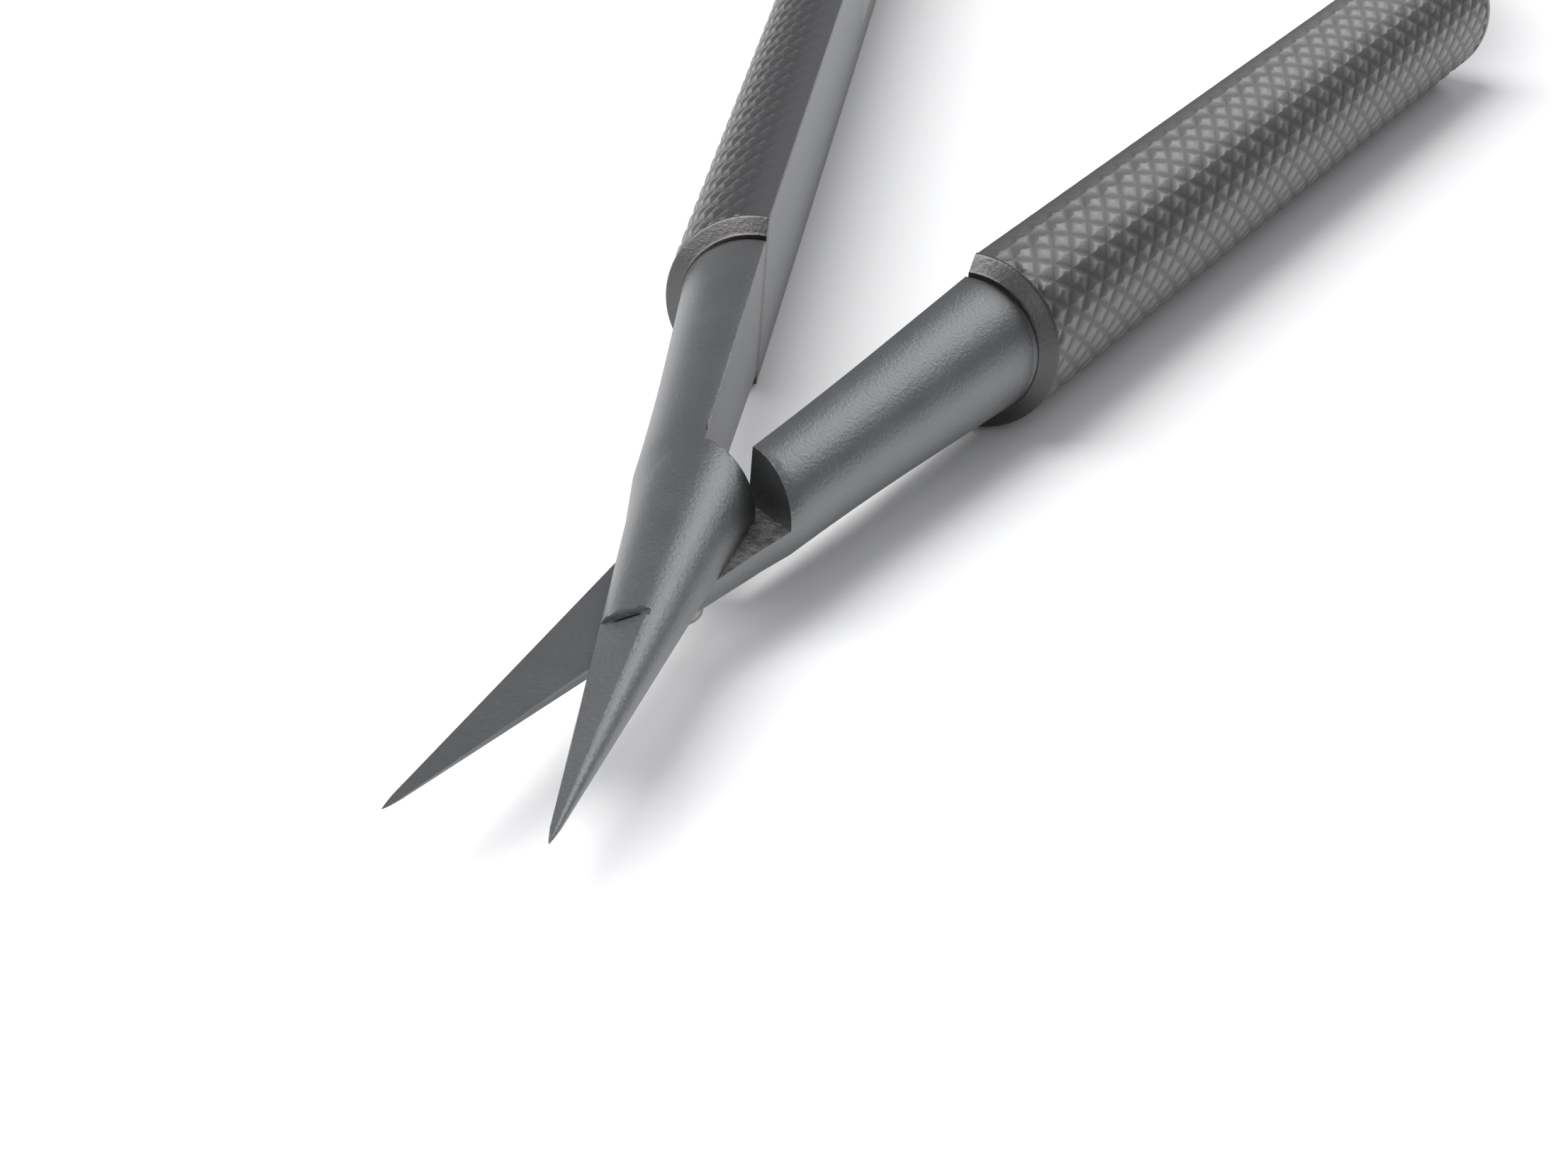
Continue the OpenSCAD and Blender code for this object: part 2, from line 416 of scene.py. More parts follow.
def on_cone(angle):
    """Direction from the cone's point along its surface, at this angle round its axis."""
    a = math.radians(angle)
    return Vector((1, CONE_SLOPE * math.cos(a), CONE_SLOPE * math.sin(a)))


def blade_rings():
    """The cone up to the joint, a soft crest there, and a long fade into the neck."""
    crest_start = JOINT_REACH - CREST
    rings = [(-BLADE_REACH, TIP_R * 0.2), (-BLADE_REACH + TIP_ROUNDING, TIP_R * 0.8)]
    for x in np.linspace(-BLADE_REACH + 1, crest_start, 14):
        rings.append((x, TIP_R + CONE_SLOPE * (x + BLADE_REACH)))
    crest_r = rings[-1][1]
    fade_slope = (NECK_R_FRONT - JOINT_R) / JOINT_FADE
    for t in np.linspace(0.1, 1, 10):
        run = 2 * CREST * t
        bend = (fade_slope - CONE_SLOPE) * t * t * CREST
        rings.append((crest_start + run, crest_r + CONE_SLOPE * 2 * CREST * t + bend))
    rings.append((JOINT_REACH + JOINT_FADE, NECK_R_FRONT))
    return rings


# %% [markdown]
# The cutters are blocks whose near faces are cut along the planes that matter, and whose far faces
# only have to lie outside the piece. The last one clears the room in which the other arm swings.

# %% The blade and its half of the joint
BEVEL_START = 6.6
BEVEL_ANGLE = 103.0
LAND_ANGLE = 24.0
SLOT_FRONT = -BEVEL_START - 0.2
SLOT_REAR = -BEVEL_START + 0.22
SLOT_BELOW = 0.1
SLOT_ABOVE = 0.2


def bevel_cutter():
    bevel = block("bevel", (-2 * OUTSIDE, -OUTSIDE, -OUTSIDE), (-BEVEL_START, OUTSIDE, OUTSIDE))
    return cut(bevel, APEX, on_cone(LAND_ANGLE).cross(on_cone(BEVEL_ANGLE)))


def slot_cutter():
    above = on_cone(BEVEL_ANGLE).cross(on_cone(LAND_ANGLE)).normalized()
    slot = block("slot", (SLOT_FRONT, -OUTSIDE, -OUTSIDE), (SLOT_REAR, OUTSIDE, OUTSIDE))
    cut(slot, APEX - SLOT_BELOW * above, -above)
    return cut(slot, APEX + SLOT_ABOVE * above, above)


def swing_cutter():
    far = 1.5 * OUTSIDE
    clear = block("clear", (-far, -far, -far), (far, far, far))
    slope, flat = math.radians(NOTCH_SLOPE), math.radians(FLAT_ANGLE)
    cut(clear, (NOTCH_REACH, 0, 0), (-math.cos(slope), math.sin(slope), 0))
    return cut(clear, (NOTCH_REACH, 0, 0), (-math.sin(flat), math.cos(flat), 0))


def blade_and_joint():
    piece = turned("blade_and_joint", blade_rings())
    cut(piece, (0, 0, 0), (0, 0, -1))
    return minus(piece, bevel_cutter(), slot_cutter(), swing_cutter())


# %% [markdown]
# The two halves of an arm are joined, and the spring's seat, its rivet holes and the pivot's hole
# are cut. The same blank, turned half round about X, is the other arm, so one function makes both
# and only the pivot's hole differs: it is a blind thread in the upper arm and goes through the
# lower.

# %% The blank of an arm and its holes
LEAF_T = 0.9
LEAF_W = 5.0
SEAT_LENGTH = 14.0
SEAT_GAP = 0.05
RIVET_R = 0.8
RIVET_LENGTH = 2.8
RIVETS = (HANDLE_END - 9.5, HANDLE_END - 3.5)

SCREW_R = 0.8
PIVOT_CLEARANCE = 0.04
HEAD_R = 1.45
HEAD_SEAT = 1.0
THREAD_DEPTH = 1.3
THROUGH = 4
BEYOND_END = 5


def arm_blank(name):
    piece = combine(blade_and_joint(), neck_and_handle(), "UNION")
    piece.name = name
    half_w = LEAF_W / 2 + SEAT_GAP
    seat_start = HANDLE_END - SEAT_LENGTH - SEAT_GAP
    seat_end = HANDLE_END + BEYOND_END
    cutters = [block("seat", (seat_start, -1, -half_w), (seat_end, LEAF_T + SEAT_GAP, half_w))]
    for x in RIVETS:
        cutters.append(rod("drill", RIVET_R, (x, -1, 0), (x, RIVET_LENGTH + SEAT_GAP, 0)))
    for cutter in cutters:
        cutter.data.transform(on_flat())
    return minus(piece, *cutters)


def pivot_hole(piece, arm):
    if arm == "upper_arm":
        return minus(piece, rod("hole", SCREW_R, (0, 0, -1), (0, 0, THREAD_DEPTH + SEAT_GAP)))
    hole = rod("hole", SCREW_R + PIVOT_CLEARANCE, (0, 0, -1), (0, 0, THROUGH))
    seat = rod("seat", HEAD_R + SEAT_GAP, (0, 0, HEAD_SEAT), (0, 0, THROUGH))
    return minus(piece, hole, seat)


# %% [markdown]
# Everything so far lies closed along X, in millimetres. One matrix turns a piece to its place at
# rest and brings it to metres. It goes straight into the mesh, so the object stays at the origin,
# where the joint expects it. The sharp edges are rounded before that, while sizes are still round.

# %% Both arms in their places
EDGE_ROUNDING = 0.09
SHEAR_GAP = 0.02
PIVOT_SIDE = {"upper_arm": 1, "lower_arm": -1}


def at_rest(arm):
    """Turn from closed along X to open; the lower arm is the same blank turned over."""
    side = PIVOT_SIDE[arm]
    turn = Matrix.Rotation(math.radians(side * OPEN_ANGLE), 4, "Z")
    over = Matrix.Rotation(0 if side == 1 else math.pi, 4, "X")
    return turn @ over


def placed(obj, arm):
    """Brings a piece of an arm to its place at rest, in metres."""
    lift = Matrix.Translation((0, 0, LAP_Z + PIVOT_SIDE[arm] * SHEAR_GAP / 2))
    obj.data.transform(Matrix.Scale(MM, 4) @ lift @ at_rest(arm))
    obj.data.update()
    return obj


pieces = {}
for arm in PIVOT_SIDE:
    piece = pivot_hole(arm_blank(arm + "_forging"), arm)
    cleaned(piece)
    softened(piece, EDGE_ROUNDING)
    smooth(placed(piece, arm))
    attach(piece, arm)
    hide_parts(arm)
    pieces[arm] = piece
    print(arm, len(piece.data.polygons), "faces")

# %% [markdown]
# Knurling is rolled into the handle as two crossing families of grooves, which leave raised
# diamonds. A bump map would show them from afar, but not at the silhouette, so they are modelled.
# A flat grid is turned on its corner and stretched until its lines have the knurl's slant, each
# cell is inset and raised, and the sheet is trimmed to size.

# %% A flat sheet of knurling
KNURL_PITCH = 1.08
KNURL_SLANT = 33.0
LAND_INSET = 0.36


def trim(half_x, half_y):
    """Cuts the sheet that is in edit mode to this half length and half width."""
    for axis, half in enumerate((half_x, half_y)):
        for side in (1, -1):
            place, away = Vector((0, 0, 0)), Vector((0, 0, 0))
            place[axis], away[axis] = side * half, side
            bpy.ops.mesh.select_all(action="SELECT")
            bpy.ops.mesh.bisect(plane_co=place, plane_no=away, clear_outer=True)


def knurl_sheet(length, width):
    """A flat sheet of raised diamonds, length along X and width along Y."""
    slant = math.radians(KNURL_SLANT)
    cell_x, cell_y = KNURL_PITCH / math.sin(slant), KNURL_PITCH / math.cos(slant)
    count = 2 * math.ceil(length / cell_x + width / cell_y) // 2 + 4
    bpy.ops.mesh.primitive_grid_add(x_subdivisions=count, y_subdivisions=count, size=count)
    sheet = new_piece("knurl")
    edit(sheet)
    bpy.ops.transform.rotate(value=math.radians(45), orient_axis="Z", center_override=(0, 0, 0))
    wide, high = (math.sqrt(0.5) * cell for cell in (cell_x, cell_y))
    bpy.ops.transform.resize(value=(wide, high, 1), center_override=(0, 0, 0))
    trim(length / 2 + cell_x, width / 2 + cell_y)
    bpy.ops.mesh.select_all(action="SELECT")
    bpy.ops.mesh.inset(use_individual=True, thickness=LAND_INSET, depth=KNURL_DEPTH)
    trim(length / 2, width / 2)
    leave()
    return sheet


# %% [markdown]
# The sheet is wrapped round the handle by moving its points: the distance across the sheet becomes
# an angle, and the height of a diamond is added to the radius. Towards the flat the diamonds run
# out into a smooth, worn strip, so there the height goes over to one even level.

# %% Knurling on both handles
HALF_TURN = math.pi / 2 + math.asin(FLAT_OFFSET / HANDLE_R)
WORN_ANGLE = 0.3
WORN_FADE = 0.7 * WORN_ANGLE
WORN_LEVEL = 0.7 * KNURL_DEPTH
SHEET_END_GAP = 0.1
SHEET_OVERLAP = 1
SHEET_WALL = 0.16
SHEET_ABOVE_FLAT = 0.012
DIAMOND_ROUNDING = 0.035


def wrapped(sheet, middle_x):
    """Wraps the sheet round the handle's axis, its middle line on the handle's outermost line."""
    flat = np.empty(len(sheet.data.vertices) * 3)
    sheet.data.vertices.foreach_get("co", flat)
    x, y, height = flat.reshape(-1, 3).T
    turn = y / HANDLE_R
    worn = np.clip((np.abs(turn) - HALF_TURN + WORN_ANGLE) / WORN_FADE, 0, 1)
    raised = np.abs(height) * (1 - worn) + WORN_LEVEL * worn
    radius = HANDLE_R - KNURL_DEPTH + raised
    across, upward = FLAT_OFFSET + radius * np.cos(turn), radius * np.sin(turn)
    sheet.data.vertices.foreach_set("co", np.stack([x + middle_x, across, upward], 1).ravel())
    sheet.data.update()
    return sheet


def knurling(name):
    length = KNURL_END - KNURL_START - SHEET_END_GAP
    piece = knurl_sheet(length, 2 * HALF_TURN * HANDLE_R + SHEET_OVERLAP)
    piece.name = name
    wrapped(piece, (KNURL_START + KNURL_END) / 2)
    outward(piece)
    only(piece)
    wall = piece.modifiers.new("wall", "SOLIDIFY")
    wall.thickness = SHEET_WALL
    wall.offset = -1
    bpy.ops.object.modifier_apply(modifier=wall.name)
    return cut(piece, (0, SHEET_ABOVE_FLAT, 0), (0, -1, 0))


for arm in PIVOT_SIDE:
    piece = knurling(arm + "_knurling")
    softened(piece, DIAMOND_ROUNDING, angle=20, segments=1)
    piece.data.transform(on_flat())
    smooth(placed(piece, arm), angle=40)
    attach(piece, arm)
    pieces[arm + "_knurling"] = piece
    print(piece.name, len(piece.data.polygons), "faces")

# %% [markdown]
# Two leaf springs push the handles apart. Each is a strip of spring steel, riveted into a shallow
# seat in the handle's flat side, bent behind the handle, and rolled into an eye at the tail. Where
# the tail lies follows from the bend and from the middle plane, on which both eyes have to meet.

# %% Where a leaf spring runs
LEAF_LEAD = 1.5
LEAF_MID = LEAF_T / 2
BEND_R = 22.0
BEND_ANGLE = 32.5
BEND_START = HANDLE_END + LEAF_LEAD
TAIL_PIN_R = 0.6
TAIL_PLAY = 0.25
KNUCKLE_WALL = 0.65
KNUCKLE_R = TAIL_PIN_R + TAIL_PLAY + KNUCKLE_WALL
KNUCKLE_DROP = KNUCKLE_R - LEAF_MID - 0.1


def bend_end():
    """Where the middle of the strip leaves the bend, in the flat face's line."""
    turn = math.radians(BEND_ANGLE)
    ahead, down = BEND_R * math.sin(turn), BEND_R * (1 - math.cos(turn))
    return Vector((BEND_START + ahead, LEAF_MID - down, 0))


def leaf_run():
    """Length of the straight run from the bend to the middle plane of the scissors at rest."""
    rest = math.radians(OPEN_ANGLE + FLAT_ANGLE)
    slant = math.radians(BEND_ANGLE) - rest
    end = bend_end()
    notch_y = NOTCH_REACH * math.sin(math.radians(OPEN_ANGLE))
    height = notch_y + end.x * math.sin(rest) + end.y * math.cos(rest)
    return (height - KNUCKLE_DROP * math.cos(slant)) / math.sin(slant)


def tail_place():
    """The middle of the eye, in the flat face's line."""
    turn = math.radians(BEND_ANGLE)
    ahead = Vector((math.cos(turn), -math.sin(turn), 0))
    side = Vector((math.sin(turn), math.cos(turn), 0))
    return bend_end() + leaf_run() * ahead - KNUCKLE_DROP * side


print("straight run of a spring", round(leaf_run(), 2), "mm")

# %% [markdown]
# The strip could be a curve with a thickness, but then its eye could not be joined to it. So it is
# made as on a bending jig: the end face is pushed forward, and turned a little at each step of the
# bend, which keeps the thickness the same all the way. The eyes of the two springs share one pin,
# so one spring keeps the outer knuckles and the other the middle one.

# %% A leaf spring
LEAF_ROOT = 2
SEAT_STEPS = 6
BEND_STEPS = 26
RUN_STEPS = 8
KNUCKLES = 3
KNUCKLE_GAP = 0.1
KNUCKLE_W = (LEAF_W - 2 * KNUCKLE_GAP) / KNUCKLES


def push(length, angle=0.0):
    """Pushes the selected end face forward, in edit mode."""
    heading = math.radians(-angle)
    step = (length * math.cos(heading), length * math.sin(heading), 0)
    bpy.ops.mesh.extrude_region_move(TRANSFORM_OT_translate={"value": step})


def leaf_strip(name):
    start = HANDLE_END - SEAT_LENGTH
    piece = block(name, (start, 0, -LEAF_W / 2), (start + LEAF_ROOT, LEAF_T, LEAF_W / 2))
    edit_faces(piece, lambda face: face.normal.x > 0.9)
    for _ in range(SEAT_STEPS):
        push((BEND_START - start - LEAF_ROOT) / SEAT_STEPS)
    step_angle = math.radians(BEND_ANGLE / BEND_STEPS)
    centre = (BEND_START, LEAF_MID - BEND_R, 0)
    for _ in range(BEND_STEPS):
        bpy.ops.mesh.extrude_region_move(TRANSFORM_OT_translate={"value": (0, 0, 0)})
        bpy.ops.transform.rotate(value=step_angle, orient_axis="Z", center_override=centre)
    for _ in range(RUN_STEPS):
        push(leaf_run() / RUN_STEPS, BEND_ANGLE)
    leave()
    return piece


def leaf_spring(name, knuckles, bore):
    """The strip with its eye, of which only the numbered knuckles are kept, and its rivet holes."""
    piece = leaf_strip(name)
    tail = tail_place()
    edge = Vector((0, 0, LEAF_W / 2))
    combine(piece, rod("eye", KNUCKLE_R, tail - edge, tail + edge), "UNION")
    minus(piece, rod("bore", bore, tail - 2 * edge, tail + 2 * edge))
    for i in range(KNUCKLES):
        if i not in knuckles:
            low = -edge + Vector((0, 0, i * (KNUCKLE_W + KNUCKLE_GAP) - KNUCKLE_GAP))
            high = low + Vector((0, 0, KNUCKLE_W + 2 * KNUCKLE_GAP))
            minus(piece, rod("gap", KNUCKLE_R + LEAF_T, tail + low, tail + high))
    for x in RIVETS:
        minus(piece, rod("drill", RIVET_R + SEAT_GAP, (x, -1, 0), (x, 2, 0)))
    return piece


# %% [markdown]
# A real spring bends all along its length as the scissors close. The frame has one body for the
# arm and one for the tail. The two places between which the strip would go over from the arm to the
# tail are worked out, but nothing uses them, and the strip is not attached to either body.

# %% Both leaf springs
LEAF_ARM = {"upper_leaf": "upper_arm", "lower_leaf": "lower_arm"}
TAIL_KNUCKLES = {"upper_leaf": (0, 2), "lower_leaf": (1,)}
LEAF_ROUNDING = 0.12
BLEND_PLACES = (HANDLE_END - 0.5, BEND_START + 1.3 * BEND_R * math.sin(math.radians(BEND_ANGLE)))


def along_leaf(x, arm):
    """A place in metres at this distance along the flat face's line, at rest."""
    marker = on_flat() @ Vector((x, 0, 0))
    return (at_rest(arm) @ marker + Vector((0, 0, LAP_Z))) * MM


for leaf, arm in LEAF_ARM.items():
    bore = TAIL_PIN_R + (TAIL_PLAY if leaf == "upper_leaf" else 0)
    piece = leaf_spring(leaf + "_strip", TAIL_KNUCKLES[leaf], bore)
    cleaned(piece, flat=0.05)
    softened(piece, LEAF_ROUNDING)
    piece.data.transform(on_flat())
    smooth(placed(piece, arm), angle=35)
    places = [along_leaf(x, arm) for x in BLEND_PLACES]
    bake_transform(piece)
    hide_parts(leaf + "_spring")
    pieces[leaf] = piece
    box = [round(v / MM, 1) for v in (*piece.bound_box[0], *piece.bound_box[6])]
    print(piece.name, len(piece.data.polygons), "faces, box", box)

# %% [markdown]
# The fixings are turned on a lathe. The pivot screw is put in from below, and its round head has
# two blind holes for a pin spanner, so the smooth upper joint shows no slot. The rivets are
# pressed through the spring into blind holes in the handle, so the knurled outside runs on
# unbroken.

# %% Pivot screw
HEAD_T = 0.85
HEAD_ROUNDING = 0.32
KEY_HOLE_R = 0.25
KEY_HOLE_REACH = 0.85
KEY_HOLE_DEPTH = 0.5


def pivot_screw():
    piece = rod("pivot_screw_turned", HEAD_R, (0, 0, 0), (0, 0, HEAD_T), segments=96)
    softened(piece, HEAD_ROUNDING, segments=4)
    shank = rod("shank", SCREW_R, (0, 0, HEAD_T / 2), (0, 0, LAP_Z + THREAD_DEPTH))
    combine(piece, shank, "UNION")
    for x in (-KEY_HOLE_REACH, KEY_HOLE_REACH):
        minus(piece, rod("drill", KEY_HOLE_R, (x, 0, -1), (x, 0, KEY_HOLE_DEPTH), segments=32))
    piece.data.transform(Matrix.Scale(MM, 4))
    return smooth(piece)


screw = pivot_screw()
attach(screw, "upper_arm")
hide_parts("pivot_screw")
print(screw.name, len(screw.data.polygons), "faces")

# %% [markdown]
# Two rivets hold each spring and are one piece, because they never move apart. The pin in the tail
# fits its own spring's eye tightly and has play in the other, which takes up the small difference
# between the springs' paths as they bend.

# %% Rivets and tail pin
TURNED_EDGE = 0.08
RIVET_SINK = 0.02
PIN_SLIP = 0.002


def rivet_pair(name):
    rivets = [rod(name, RIVET_R, (x, RIVET_SINK, 0), (x, RIVET_LENGTH, 0)) for x in RIVETS]
    for rivet in rivets:
        softened(rivet, TURNED_EDGE, segments=3)
    piece = rivets[0]
    only(piece)
    rivets[1].select_set(True)
    bpy.ops.object.join()
    piece.data.transform(on_flat())
    return piece


fixings = [screw]
for arm, node in (("upper_arm", "upper_spring_rivets"), ("lower_arm", "lower_spring_rivets")):
    piece = smooth(placed(rivet_pair(node + "_set"), arm))
    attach(piece, arm)
    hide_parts(node)
    fixings.append(piece)

pin = rod("tail_pin_turned", TAIL_PIN_R - PIN_SLIP, (0, 0, -LEAF_W / 2), (0, 0, LEAF_W / 2))
softened(pin, TURNED_EDGE, segments=3)
pin.data.transform(Matrix.Translation(tail_place()))
pin.data.transform(on_flat())
smooth(placed(pin, "lower_arm"))
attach(pin, "lower_leaf")
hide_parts("tail_pin")
fixings.append(pin)
print(len(fixings), "fixings made")

# %% [markdown]
# Steel has no colour pattern of its own, so its finish is in how sharply it reflects. A material
# is a graph of nodes, and arithmetic takes a node for every sign. One small class wraps an output,
# so that the maths can be written as plain arithmetic and adds its nodes by itself.

# %% Values in a material
class Value:
    """A number, vector or colour in a material, which can be added, multiplied and so on."""

    def __init__(self, tree, socket=None):
        self.tree, self.socket = tree, socket

    def node(self, kind, settings, values, output=0):
        """Adds one node and gives its output, from a type, its settings and its socket values."""
        made = self.tree.nodes.new(kind)
        for name, setting in settings.items():
            setattr(made, name, setting)
        for name, value in values.items():
            if isinstance(value, Value):
                self.tree.links.new(value.socket, made.inputs[name])
            else:
                made.inputs[name].default_value = value
        return Value(self.tree, made.outputs[output])

    def maths(self, operation, *values):
        return self.node("ShaderNodeMath", {"operation": operation}, dict(enumerate(values)))

    def __add__(self, other):
        return self.maths("ADD", self, other)

    def __sub__(self, other):
        return self.maths("SUBTRACT", self, other)

    def __rsub__(self, other):
        return self.maths("SUBTRACT", other, self)

    def __mul__(self, other):
        return self.maths("MULTIPLY", self, other)

    def __pow__(self, other):
        return self.maths("POWER", self, other)

    __radd__ = __add__
    __rmul__ = __mul__

    def step(self, low, high):
        """0 below low, 1 above high, and a smooth rise between."""
        values = {"Value": self, "From Min": low, "From Max": high}
        return self.node("ShaderNodeMapRange", {"interpolation_type": "SMOOTHSTEP"}, values)

    def band(self, rise, fall):
        """1 between two places, each of them a pair over which the change is spread."""
        return self.step(*rise) * (1 - self.step(*fall))


# %% [markdown]
# Patterns are built from places on the object itself, in millimetres, so that they stay on it when
# it moves. All the steels are metals and differ in colour, roughness and grain, so one helper
# takes those three.

# %% Textures, mixing and metal
def blank(name):
    """A material with a Principled shader, and the place on the object in millimetres."""
    material = bpy.data.materials.new(name)
    material.use_nodes = True
    place = Value(material.node_tree).node("ShaderNodeTexCoord", {}, {}, output="Object")
    in_mm = place.node("ShaderNodeVectorMath", {"operation": "SCALE"}, {0: place, "Scale": 1 / MM})
    return material, material.node_tree.nodes["Principled BSDF"], in_mm


def noise(place, scale, detail=3.0, roughness=0.5, stretch=(1, 1, 1), turn=0.0):
    if stretch != (1, 1, 1) or turn:
        values = {"Vector": place, "Rotation": (0, 0, turn), "Scale": stretch}
        place = place.node("ShaderNodeMapping", {"vector_type": "POINT"}, values)
    values = {"Vector": place, "Scale": scale, "Detail": detail, "Roughness": roughness}
    return place.node("ShaderNodeTexNoise", {}, values)


def mix(amount, first, second):
    """The first colour where the amount is 0, the second where it is 1."""
    values = {0: amount, 6: first, 7: second}
    return amount.node("ShaderNodeMix", {"data_type": "RGBA"}, values, output=2)


def grey(level, tint=0.0):
    return (level * (1 - tint), level, level * (1 + tint), 1)


def bump(height, strength, distance):
    values = {"Strength": strength, "Distance": distance * MM, "Height": height}
    return height.node("ShaderNodeBump", {}, values)


def connect(value, socket):
    value.tree.links.new(value.socket, socket)


def metal(shader, colour, roughness, normal):
    connect(colour, shader.inputs["Base Color"])
    connect(roughness, shader.inputs["Roughness"])
    shader.inputs["Metallic"].default_value = 1
    connect(normal, shader.inputs["Normal"])


def dress(piece, *materials):
    piece.data.materials.clear()
    for material in materials:
        piece.data.materials.append(material)


# %% [markdown]
# The arms are stainless steel, blasted with fine glass beads to a satin grey. The beads leave an
# even grain of tiny dents. The groove and the rim of the shoulder are painted darker, as painted
# shade that dims the rim's highlight, and the groove has also kept a trace of brown. Both lie at
# known distances along the arm, so those are worked out from the place.

# %% Satin steel
SATIN = 0.2
SATIN_ROUGHNESS = 0.36
HEAT_BROWN = (0.055, 0.035, 0.028, 1)


def along_arm(place, arm):
    """Distances along the arm's flat line from the notch, across it, and up from the lap."""
    side = PIVOT_SIDE[arm]
    parts = place.node("ShaderNodeSeparateXYZ", {}, {"Vector": place}).socket.node
    x, y, z = (Value(place.tree, output) for output in parts.outputs)
    rest = math.radians(OPEN_ANGLE)
    notch = NOTCH_REACH * math.cos(rest), side * NOTCH_REACH * math.sin(rest)
    turn = side * math.radians(OPEN_ANGLE + FLAT_ANGLE)
    dx, dy = x - notch[0], y - notch[1]
    along = dx * math.cos(turn) + dy * math.sin(turn)
    across = side * (dy * math.cos(turn) - dx * math.sin(turn))
    return along, across, z - LAP_Z


def satin_steel(arm):
    material, shader, place = blank(arm + " satin steel")
    along, across, _ = along_arm(place, arm)
    cloud = noise(place, 0.35, 3)
    grain = noise(place, 6, 3, 0.6)
    rise, fall = (NECK_LENGTH - 0.3, NECK_LENGTH + 0.1), (NECK_LENGTH + 0.4, NECK_LENGTH + 1.1)
    heated = along.band(rise, fall)
    heated = heated * (1 - across.step(0.6 * HANDLE_R, 0.95 * HANDLE_R))
    heated = heated * (0.5 + 0.5 * noise(place, 1.1, 2))
    # painted shade: the groove and the shoulder's rim are darkened, which dims the bevel's
    # highlight
    shoulder_shade = along.band((NECK_LENGTH, NECK_LENGTH + 0.4), (KNURL_START + 0.2, KNURL_START + 0.6))
    colour = mix(0.5 * cloud + 0.5 * grain, grey(SATIN * 0.8, 0.02), grey(SATIN * 1.14, 0.02))
    colour = mix(0.75 * shoulder_shade, colour, grey(SATIN * 0.35))
    colour = mix(0.35 * heated, colour, HEAT_BROWN)
    roughness = SATIN_ROUGHNESS + 0.05 * cloud + 0.06 * grain
    metal(shader, colour, roughness, bump(grain, 0.5, 0.05))
    return material


# %% [markdown]
# The valleys between the diamonds are painted darker than the crowns, as painted shade in the
# recesses, and the crowns are brighter with the polish that handling gives them. The worn strip
# along the flat is plain satin again. Crown or valley is told by the distance from the handle's
# axis, so the colour follows the shape by itself. The lap inside the joint stays as milled, with a
# mottled, darker face.

# %% Knurled steel and the milled lap
VALLEY_SHADE_GREY = 0.1
CROWN_GREY = 0.15
LAP_DARK = 0.09
LAP_LIGHT = 0.2


def knurled_steel(arm):
    material, shader, place = blank(arm + " knurled steel")
    _, across, height = along_arm(place, arm)
    from_axis = (((across - FLAT_OFFSET) ** 2) + (height * height)) ** 0.5
    crown = from_axis.step(HANDLE_R - KNURL_DEPTH, HANDLE_R - 0.2 * KNURL_DEPTH)
    grain = noise(place, 12, 2, 0.6)
    worn = 1 - across.step(0.2, 1.5)
    # painted shade: the valleys are darker than the crowns, whose brightness is their polish
    colour = mix(crown, grey(VALLEY_SHADE_GREY), grey(CROWN_GREY))
    colour = mix(0.8 * worn, colour, grey(SATIN))
    metal(shader, colour, 0.42 - 0.08 * crown + 0.06 * grain, bump(grain, 0.2, 0.03))
    return material


def milled_steel():
    material, shader, place = blank("milled lap")
    mottle = noise(place, 2.4, 5, 0.7)
    marks = noise(place, 4, 2, 0.5, stretch=(1, 5, 1), turn=0.5)
    colour = mix(mottle.step(0.35, 0.65), grey(LAP_DARK), grey(LAP_LIGHT))
    metal(shader, colour, 0.38 + 0.2 * mottle, bump(mottle + 0.5 * marks, 0.8, 0.08))
    return material


# %% [markdown]
# An arm carries two finishes. Its faces are sorted by place and normal: those that lie level with
# the shear face, from just before the pivot to the rear, are the milled lap, and the ground blade
# stays satin.

# %% Steel on the arms
LAP_REACH = 1.5
LAP_NEAR = 0.05


def on_lap(face):
    level = abs(face.center.z / MM - LAP_Z) < LAP_NEAR and abs(face.normal.z) > 0.99
    return level and face.center.x / MM > -LAP_REACH


lap = milled_steel()
for arm in PIVOT_SIDE:
    dress(pieces[arm], satin_steel(arm), lap)
    for face in pieces[arm].data.polygons:
        face.material_index = 1 if on_lap(face) else 0
    dress(pieces[arm + "_knurling"], knurled_steel(arm))
    lap_faces = sum(face.material_index for face in pieces[arm].data.polygons)
    print(arm, "has", lap_faces, "faces as milled")

# %% [markdown]
# Spring steel is brushed along its length, since a scratch across it would start a crack. A noise
# that is stretched along the strip gives such lines. The turned fixings are brighter and smoother,
# and carry only a fine grain.

# %% Spring steel and turned steel
def brushed_steel(leaf, turn):
    material, shader, place = blank(leaf + " brushed steel")
    lines = noise(place, 2.2, 4, 0.6, stretch=(0.06, 4, 4), turn=turn)
    cloud = noise(place, 0.2, 2)
    metal(shader, mix(cloud, grey(0.22), grey(0.27)), 0.24 + 0.16 * lines, bump(lines, 0.2, 0.02))
    return material


def turned_steel():
    material, shader, place = blank("turned steel")
    grain = noise(place, 6, 3, 0.6)
    colour = mix(noise(place, 0.8), grey(0.26), grey(0.32))
    metal(shader, colour, 0.18 + 0.12 * grain, bump(grain, 0.1, 0.01))
    return material


turned_finish = turned_steel()
for piece in fixings:
    dress(piece, turned_finish)
for leaf, arm in LEAF_ARM.items():
    heading = -PIVOT_SIDE[arm] * math.radians(OPEN_ANGLE + FLAT_ANGLE - BEND_ANGLE)
    dress(pieces[leaf], brushed_steel(leaf, heading))
print("brushed steel on", list(LEAF_ARM), "and turned steel on", len(fixings), "fixings")

# %% [markdown]
# A pale floor and soft light show the shape of satin steel best: broad lights give it long, smooth
# bands, and a dimmer room between them keeps the bands dark enough to read.

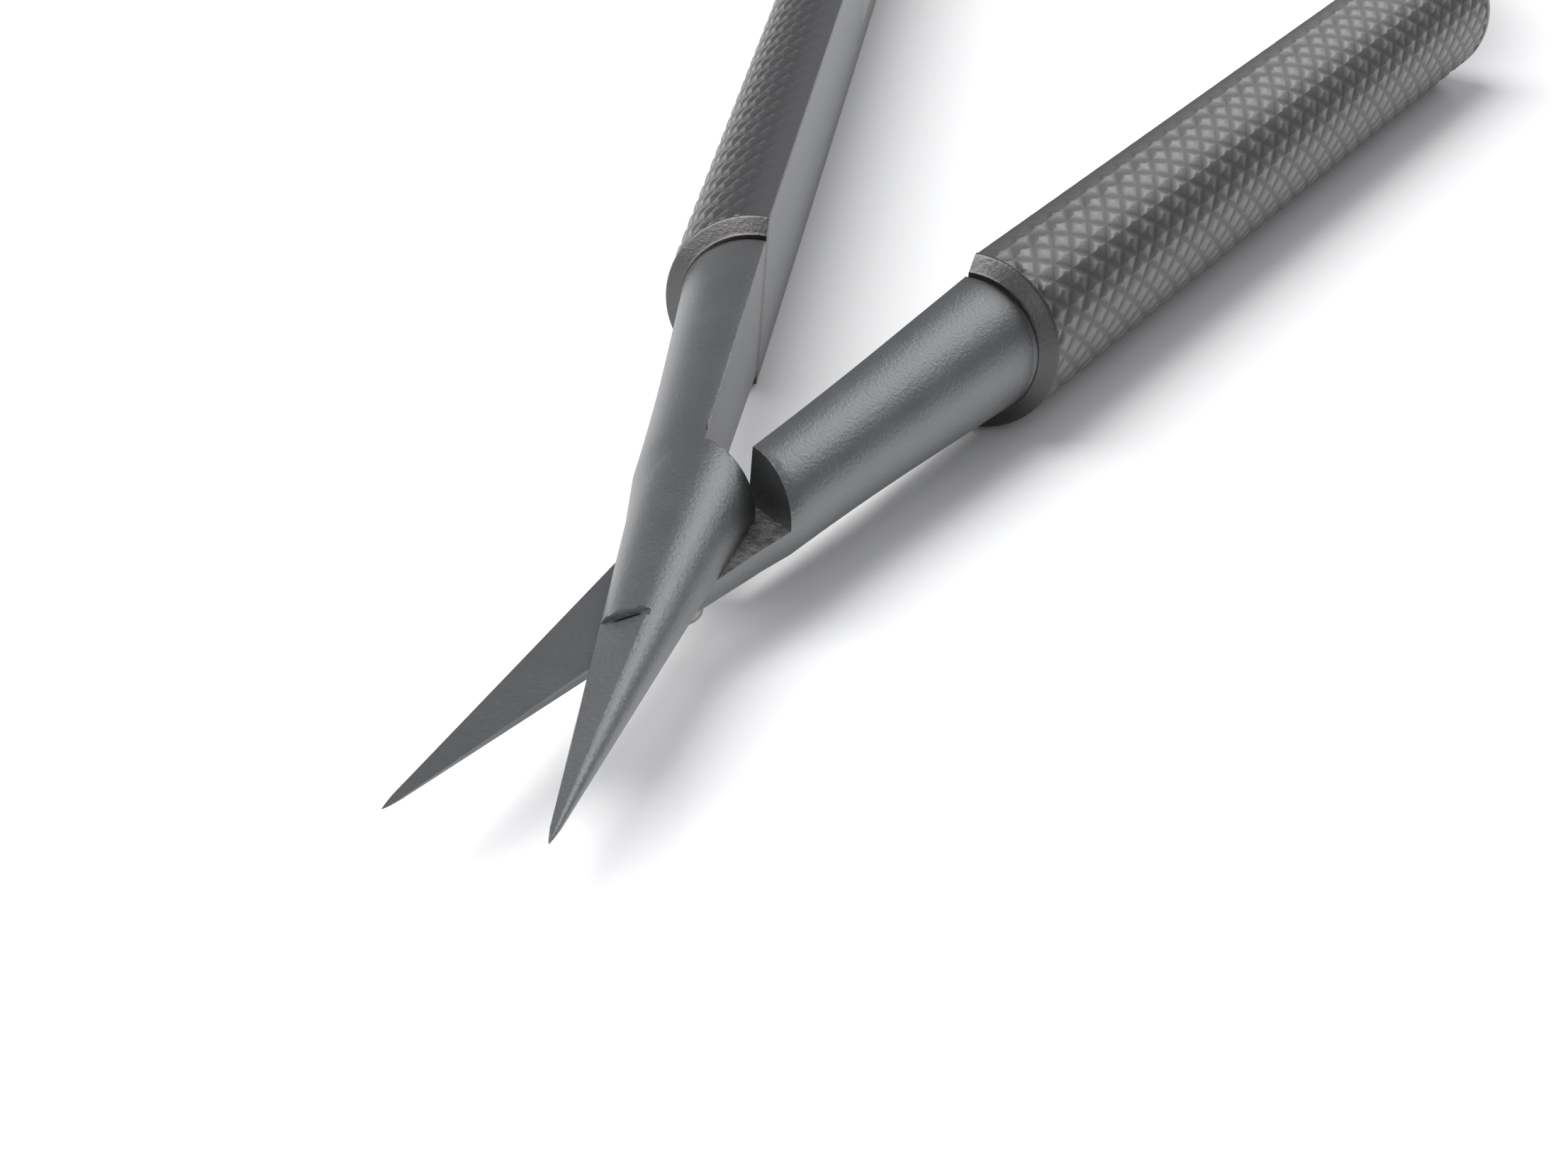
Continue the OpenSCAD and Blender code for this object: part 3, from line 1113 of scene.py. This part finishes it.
# %% Floor and room
FLOOR_SIZE = 8
FLOOR_Z = CAD_BOX[0].z
FLOOR_DROP = 0.0001
ROOM_LIGHT = (0.3, 0.305, 0.32, 1)

bpy.ops.mesh.primitive_plane_add(size=FLOOR_SIZE, location=(0, 0, 0))
floor = new_piece("floor")
floor.data.transform(Matrix.Translation((0, 0, FLOOR_Z - FLOOR_DROP)))
floor_finish, shader, place = blank("pale floor")
connect(mix(noise(place, 0.01), grey(0.86), grey(0.9)), shader.inputs["Base Color"])
shader.inputs["Roughness"].default_value = 0.9
floor.data.materials.append(floor_finish)

room = bpy.data.worlds.new("room")
room.use_nodes = True
room.node_tree.nodes["Background"].inputs["Color"].default_value = ROOM_LIGHT
bpy.context.scene.world = room
print("floor at", round(FLOOR_Z / MM, 2), "mm")

# %% [markdown]
# Polished or satin metal shows mostly what it mirrors. Each light stands where its reflection
# falls on a face that should be bright: one overhead, one to the left, a weak one in front, and
# one beyond the handles for the flats that face away.

# %% Soft lights
SOFT_LIGHTS = (
    ("overhead", (-0.05, 0.3, 0.75), (0.05, 0, 0), (0.5, 0.6), 6.5),
    ("left", (0.0, 0.8, 0.45), (0.05, 0, 0), (0.6, 0.5), 5),
    ("front", (-0.75, -0.35, 0.5), (0, 0, 0), (0.5, 0.4), 1.2),
    ("beyond", (0.74, -0.24, 0.45), (0.02, 0, 0), (0.5, 0.35), 1.5),
)


def soft_light(name, place, target, size, power):
    data = bpy.data.lights.new(name, "AREA")
    data.shape = "RECTANGLE"
    data.size, data.size_y = size
    data.energy = power
    light = bpy.data.objects.new(name, data)
    bpy.context.collection.objects.link(light)
    light.location = place
    light.rotation_euler = (Vector(target) - Vector(place)).to_track_quat("-Z", "Y").to_euler()


for light in SOFT_LIGHTS:
    soft_light(*light)
bpy.context.scene.view_settings.view_transform = "Standard"
print(len(SOFT_LIGHTS), "lights")

# %% [markdown]
# At the end the size of the CAD model is printed.

# %% Sizes and finish
print("CAD box", CAD_BOX)
